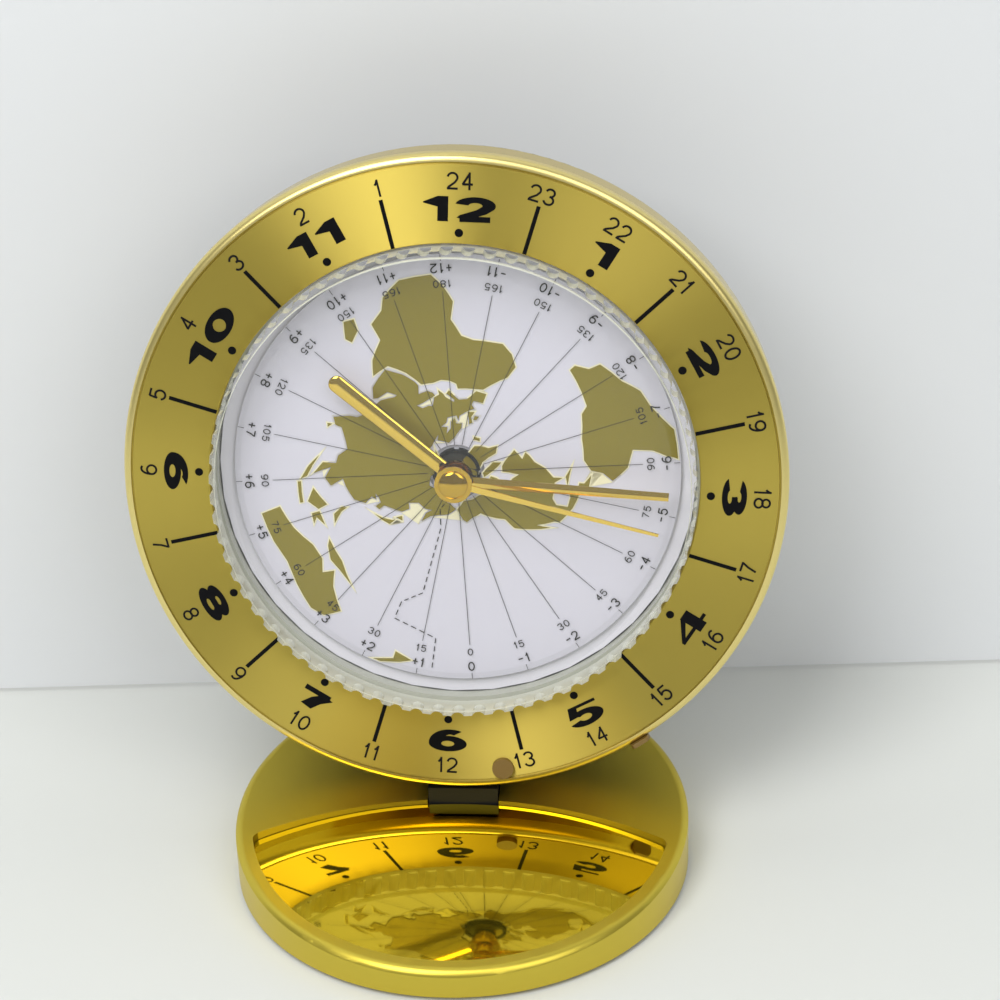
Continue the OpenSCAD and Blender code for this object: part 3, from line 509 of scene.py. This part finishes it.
def cap_dome():
    """A dome over a short upright edge, on a wide foot, turned as one mesh with a pole."""
    rings = [(FOOT_R, FOOT_BASE), (FOOT_R, FOOT_TOP), (CAP_R, FOOT_TOP + 0.02), (CAP_R, CAP_EDGE)]
    for i in range(1, 9):
        a = math.radians(i * 10)
        rings.append((CAP_R * math.cos(a), CAP_EDGE + DOME_TALL * math.sin(a)))
    steps = 64
    verts = [(r * math.cos(2 * math.pi * i / steps), r * math.sin(2 * math.pi * i / steps), z)
             for r, z in rings for i in range(steps)]
    verts.append((0, 0, POLE))
    faces = tube_faces(len(rings), steps)
    last = (len(rings) - 1) * steps
    faces += [(last + i, last + (i + 1) % steps, len(verts) - 1) for i in range(steps)]
    faces.append(tuple(reversed(range(steps))))
    finish_turned("cap_dome", verts, faces, 0, CAP_GOLD_PAINTED_SHADE, "hand_cap", "second_group")


cap_dome()


# World map, seen from above the North Pole: outlines as (longitude, latitude)

# Longitude 0 points this many degrees clockwise from the dial's top
ZERO_LINE = 9.6
MM_PER_DEGREE = 0.249
# The lands keep this far inside the disc's edge, and their outlines are cut about every so many degrees
EDGE_LEFT = 0.3
CUT_DEGREES = 4

LANDS = [
    # Africa and Madagascar
    [(-6, 35), (0, 36), (10, 37), (11, 34), (15, 32), (20, 31), (25, 32), (32, 31), (34, 27), (37, 21),
     (43, 12), (51, 12), (47, 4), (40, -4), (40, -15), (35, -20), (33, -27), (27, -34), (18, -34),
     (15, -27), (12, -17), (13, -6), (9, 4), (4, 6), (-4, 5), (-8, 4), (-13, 8), (-17, 14), (-16, 22),
     (-10, 30)],
    [(49, -12), (50, -16), (47, -25), (44, -23), (45, -16)],
    # Europe and Asia
    [(-9, 37), (-9, 43), (-2, 43.5), (-1, 46), (-4, 48), (2, 51), (8, 54), (9, 57), (11, 54), (20, 55),
     (22, 58), (29, 60), (22, 61), (25, 65), (18, 62), (17, 58), (13, 56), (11, 59), (5, 59), (5, 62),
     (14, 68), (25, 71), (41, 67), (36, 64), (44, 66), (54, 68), (68, 68), (72, 72), (80, 73), (90, 75),
     (104, 78), (113, 74), (130, 71), (140, 73), (160, 70), (180, 69), (190, 66), (180, 62), (170, 60),
     (162, 57), (157, 51), (156, 57), (160, 61), (152, 59), (142, 59), (136, 54), (141, 52), (139, 47),
     (132, 43), (128, 40), (129, 36), (126, 35), (125, 39), (121, 39), (118, 38), (122, 37), (119, 35),
     (122, 30), (118, 24), (110, 21), (106, 20), (109, 12), (105, 9), (100, 13), (103, 2), (98, 8),
     (98, 16), (94, 17), (90, 22), (86, 20), (80, 15), (80, 11), (77, 8), (73, 17), (72, 21), (67, 25),
     (57, 26), (50, 30), (48, 30), (51, 25), (57, 24), (59, 22), (55, 17), (45, 13), (43, 16), (39, 21),
     (35, 28), (34, 31), (36, 36), (30, 36), (27, 38), (26, 40), (30, 41), (36, 42), (41, 42), (38, 45),
     (33, 45), (30, 46), (28, 43), (27, 41), (23, 40), (23, 37), (20, 40), (19, 42), (13, 45.5),
     (12.5, 44), (18, 40), (16, 38), (12, 42), (9, 44), (3, 43), (0, 40), (-2, 37)],
    # North America
    [(-168, 66), (-162, 59), (-158, 57), (-152, 59), (-140, 60), (-133, 55), (-124, 48), (-124, 40),
     (-117, 32), (-110, 23), (-113, 31), (-106, 23), (-105, 20), (-96, 16), (-88, 14), (-84, 9), (-79, 8),
     (-83, 12), (-83, 15), (-88, 16), (-87, 21), (-91, 19), (-96, 19), (-97, 26), (-94, 29.5), (-84, 30),
     (-81, 25.5), (-81, 31), (-75, 36), (-70, 42), (-65, 44), (-61, 46), (-66, 49), (-56, 52), (-62, 58),
     (-65, 60), (-70, 62), (-77, 62), (-78, 58), (-80, 52), (-85, 56), (-94, 58), (-93, 62), (-87, 65),
     (-85, 69), (-95, 70), (-115, 68), (-127, 70), (-141, 70), (-156, 71)],
    # South America
    [(-77, 8), (-72, 12), (-62, 10.5), (-52, 5), (-50, 0), (-44, -2), (-35, -5), (-35, -9), (-39, -14),
     (-40, -21), (-48, -26), (-53, -33), (-58, -35), (-62, -39), (-65, -43), (-66, -46), (-74, -46),
     (-73, -38), (-71, -30), (-70, -18), (-76, -14), (-81, -5), (-78, 1)],
    # Australia, New Guinea and New Zealand
    [(114, -22), (115, -34), (124, -33), (131, -31.5), (138, -35), (146, -39), (150, -37), (153, -28),
     (146, -19), (142, -11), (140, -17.5), (136, -12), (130, -12), (122, -18)],
    [(131, -1), (141, -3), (150, -10), (143, -8), (138, -8), (133, -4)],
    [(173, -35), (178, -38), (175, -41), (170, -45), (168, -45), (173, -40)],
    # Greenland and the arctic islands
    [(-44, 60), (-40, 65), (-22, 70), (-20, 76), (-14, 81), (-30, 83), (-60, 82), (-68, 79), (-68, 76),
     (-56, 73), (-52, 68), (-51, 63)],
    [(-65, 62), (-62, 67), (-72, 72), (-80, 74), (-88, 73), (-80, 70), (-72, 66)],
    [(-105, 69), (-105, 73), (-117, 73), (-117, 69)],
    [(-62, 82), (-75, 83), (-90, 81), (-88, 77), (-78, 77), (-66, 80)],
    # Smaller islands
    [(-5, 50), (1, 51), (0, 53), (-2, 56), (-3, 58.5), (-6, 57), (-3, 54)],
    [(-10, 52), (-6, 52.5), (-6, 55), (-9, 54.5)],
    [(-22, 64), (-14, 65), (-16, 66.5), (-24, 65.5)],
    [(54, 71), (68, 76.5), (60, 76)],
    [(80, 9), (82, 7), (80.5, 6)],
    [(95, 5.5), (104, -2), (105, -6), (100, -1)],
    [(106, -6), (114, -7), (114, -9), (106, -8)],
    [(109, 1), (117, 7), (118, 1), (114, -4)],
    [(119, 1), (125, 1), (121, -2), (123, -5), (119, -4)],
    [(121, 18), (122, 14), (126, 7), (122, 9), (120, 15)],
    [(130, 32), (135, 35), (140, 39), (141, 41), (141, 36), (136, 34)],
    [(140, 42), (142, 45.5), (145, 43.5)],
    [(-85, 22), (-80, 23.5), (-75, 20), (-80, 21.5)],
]
DATE_LINE = [(176, 84), (176, 72), (168, 64), (176, 52), (176, 8), (169, -2), (169, -14),
             (184, -20), (184, -42)]


def map_point(lon, lat):
    """A place on the map as a point of the dial's plane, kept inside the disc."""
    radius = min((90 - lat) * MM_PER_DEGREE, DISC_R - EDGE_LEFT)
    a = math.radians(ZERO_LINE - lon)
    return radius * math.sin(a), radius * math.cos(a)


def land_outline(corners):
    """The outline with its long edges cut up, so that they follow the map's curves."""
    points = []
    for (lon_a, lat_a), (lon_b, lat_b) in zip(corners, corners[1:] + corners[:1]):
        cuts = max(1, int(math.hypot(lon_b - lon_a, lat_b - lat_a) / CUT_DEGREES))
        for i in range(cuts):
            t = i / cuts
            points.append(map_point(lon_a + (lon_b - lon_a) * t, lat_a + (lat_b - lat_a) * t))
    return points


def raised_outlines(name, outlines, depth, height, bevel, grow, mat):
    """Filled and raised outlines on the map disc, grown by that much."""
    curve = bpy.data.curves.new(name, "CURVE")
    curve.dimensions = "2D"
    curve.fill_mode = "BOTH"
    curve.extrude = height / 2
    curve.bevel_depth = bevel
    curve.offset = grow - bevel
    curve.bevel_resolution = 1
    for outline in outlines:
        spline = curve.splines.new("POLY")
        spline.points.add(len(outline) - 1)
        for point, (x, y) in zip(spline.points, outline):
            point.co = (x, y, 0, 1)
        spline.use_cyclic_u = True
    obj = mesh_of(put_in_scene(name, curve))
    obj.data.transform(dial_matrix(depth))
    paint(obj, mat)
    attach(obj, "crystal_group")


# The margin sheet carries painted light: its print is lighter than the map's, to cancel the ring's shade
MARGIN_R, MARGIN_DEPTH = 36.3, -6.62
margin = [flat_shape(oval(0, 0, MARGIN_R, MARGIN_R, 0, 360)[:-1])]
finish_print("map_margin_painted_light", margin, MARGIN_DEPTH, PAINTED_LIGHT_MARGIN, "crystal_group")

land_shapes = [land_outline(corners) for corners in LANDS]
raised_outlines("map_land_edges", land_shapes, MAP_FACE + 0.05, 0.06, 0.02, 0.2, LAND_EDGE)
raised_outlines("map_lands", land_shapes, MAP_FACE + 0.1, 0.1, 0.06, 0.0, LAND)

# Two rings of figures break each line, hours outside and degrees inside. They count clockwise from the foot,
# while the lands' longitudes count anticlockwise from the top, so the figures don't fit the lands
FIRST_LINE = 0.32
LINE_STOP, LINE_AGAIN, LINE_WIDE = 28.2, 32.9, 0.09
OFFSET_R, OFFSET_TYPE = 31.8, (1.5, 1.05, 0.2, 0.34)
DEGREES_R, DEGREES_TYPE = 29.4, (1.15, 0.85, 0.15, 0.24)
DASH_STEP, DASH_SHARE, DASH_WIDE = 1.3, 0.62, 0.15

line_print = []
for i in range(24):
    hour = i / 2 + FIRST_LINE
    line_print.append(bar(DISC_HOLE, LINE_STOP, hour, LINE_WIDE))
    line_print.append(bar(LINE_AGAIN, DISC_R, hour, LINE_WIDE))
    offset = i - 11
    turn = upright_turn(hour, True)
    label = "0" if offset == 0 else ("+" if offset > 0 else "-") + str(abs(offset))
    degrees = str(abs(offset) * 15)
    line_print += number(label, *OFFSET_TYPE, *clock_point(OFFSET_R, hour), turn)
    line_print += number(degrees, *DEGREES_TYPE, *clock_point(DEGREES_R, hour), turn)
for start, end in zip(DATE_LINE, DATE_LINE[1:]):
    start, end = Vector(map_point(*start)), Vector(map_point(*end))
    dashes = max(1, round((end - start).length / DASH_STEP))
    for i in range(dashes):
        dash = [start.lerp(end, i / dashes), start.lerp(end, (i + DASH_SHARE) / dashes)]
        line_print.append(stroke(dash, DASH_WIDE))
finish_print("map_lines", line_print, MAP_FACE + 0.26, INK_THIN, "crystal_group")


# Floor, wall, lamps and camera


def clear_from_behind(mat):
    """Shows only the front of a sheet, so that it hides nothing that is looked at from its back."""
    tree = mat.node_tree
    mix = tree.nodes.new("ShaderNodeMixShader")
    clear = tree.nodes.new("ShaderNodeBsdfTransparent")
    side = tree.nodes.new("ShaderNodeNewGeometry")
    tree.links.new(side.outputs["Backfacing"], mix.inputs["Fac"])
    tree.links.new(tree.nodes["Principled BSDF"].outputs["BSDF"], mix.inputs[1])
    tree.links.new(clear.outputs["BSDF"], mix.inputs[2])
    tree.links.new(mix.outputs["Shader"], tree.nodes["Material Output"].inputs["Surface"])


def backdrop(name, corners, color):
    """A flat sheet of the stage, which is no part of the clock."""
    mesh = bpy.data.meshes.new(name)
    mesh.from_pydata(corners, [], [(0, 1, 2, 3)])
    obj = put_in_scene(name, mesh)
    mat = principled(name, color, 0.9)
    clear_from_behind(mat)
    paint(obj, mat)


# The wall stands close behind the clock and runs slightly away to the right, with a thin gap at its foot
WALL_LEFT, WALL_RIGHT = (-2.0, -0.0922), (2.0, 0.1978)
WALL_FOOT, WALL_TOP = 0.0005, 2
backdrop("floor", [(-3, -3, 0), (3, -3, 0), (3, 1, 0), (-3, 1, 0)], srgb(222, 224, 220))
wall_foot = [(*WALL_LEFT, WALL_FOOT), (*WALL_RIGHT, WALL_FOOT)]
wall_top = [(*WALL_RIGHT, WALL_TOP), (*WALL_LEFT, WALL_TOP)]
backdrop("wall", wall_foot + wall_top, srgb(228, 230, 232))


def area_lamp(name, place, size, power):
    """A soft lamp that faces the dial."""
    data = bpy.data.lights.new(name, "AREA")
    data.shape = "RECTANGLE"
    data.size, data.size_y = size
    data.energy = power
    obj = put_in_scene(name, data)
    obj.location = place
    obj.rotation_mode = "QUATERNION"
    obj.rotation_quaternion = (LAMP_AIM - Vector(place)).to_track_quat("-Z", "Y")


LAMP_AIM = Vector((0, 0, 0.06))
area_lamp("key", (-0.29, -0.57, 0.83), (0.45, 0.75), 6.6)
area_lamp("fill", (0.45, -0.66, 0.76), (0.6, 0.8), 3.4)

world = bpy.data.worlds.new("studio")
world.use_nodes = True
world.node_tree.nodes["Background"].inputs["Color"].default_value = (0.92, 0.94, 0.96, 1)
world.node_tree.nodes["Background"].inputs["Strength"].default_value = 0.28
bpy.context.scene.world = world

# The camera: place, the point it looks at, its roll and the lens
CAM_PLACE = Vector((35.5, -337.0, 249.0)) * MM
CAM_AIM = Vector((4.66, 8.99, 59.76)) * MM
CAM_ROLL = math.radians(-2.17)
camera = bpy.data.cameras.new("camera")
camera.lens = 95.26
camera.sensor_width = 36
camera.shift_x = 0.0154
camera.shift_y = -0.003
camera.clip_start = 0.01
cam_obj = put_in_scene("camera", camera)
cam_obj.rotation_mode = "QUATERNION"
look = (CAM_AIM - CAM_PLACE).to_track_quat("-Z", "Y")
cam_obj.location = CAM_PLACE
cam_obj.rotation_quaternion = look @ Matrix.Rotation(CAM_ROLL, 3, "Z").to_quaternion()
bpy.context.scene.camera = cam_obj
bpy.context.scene.view_settings.view_transform = "Standard"
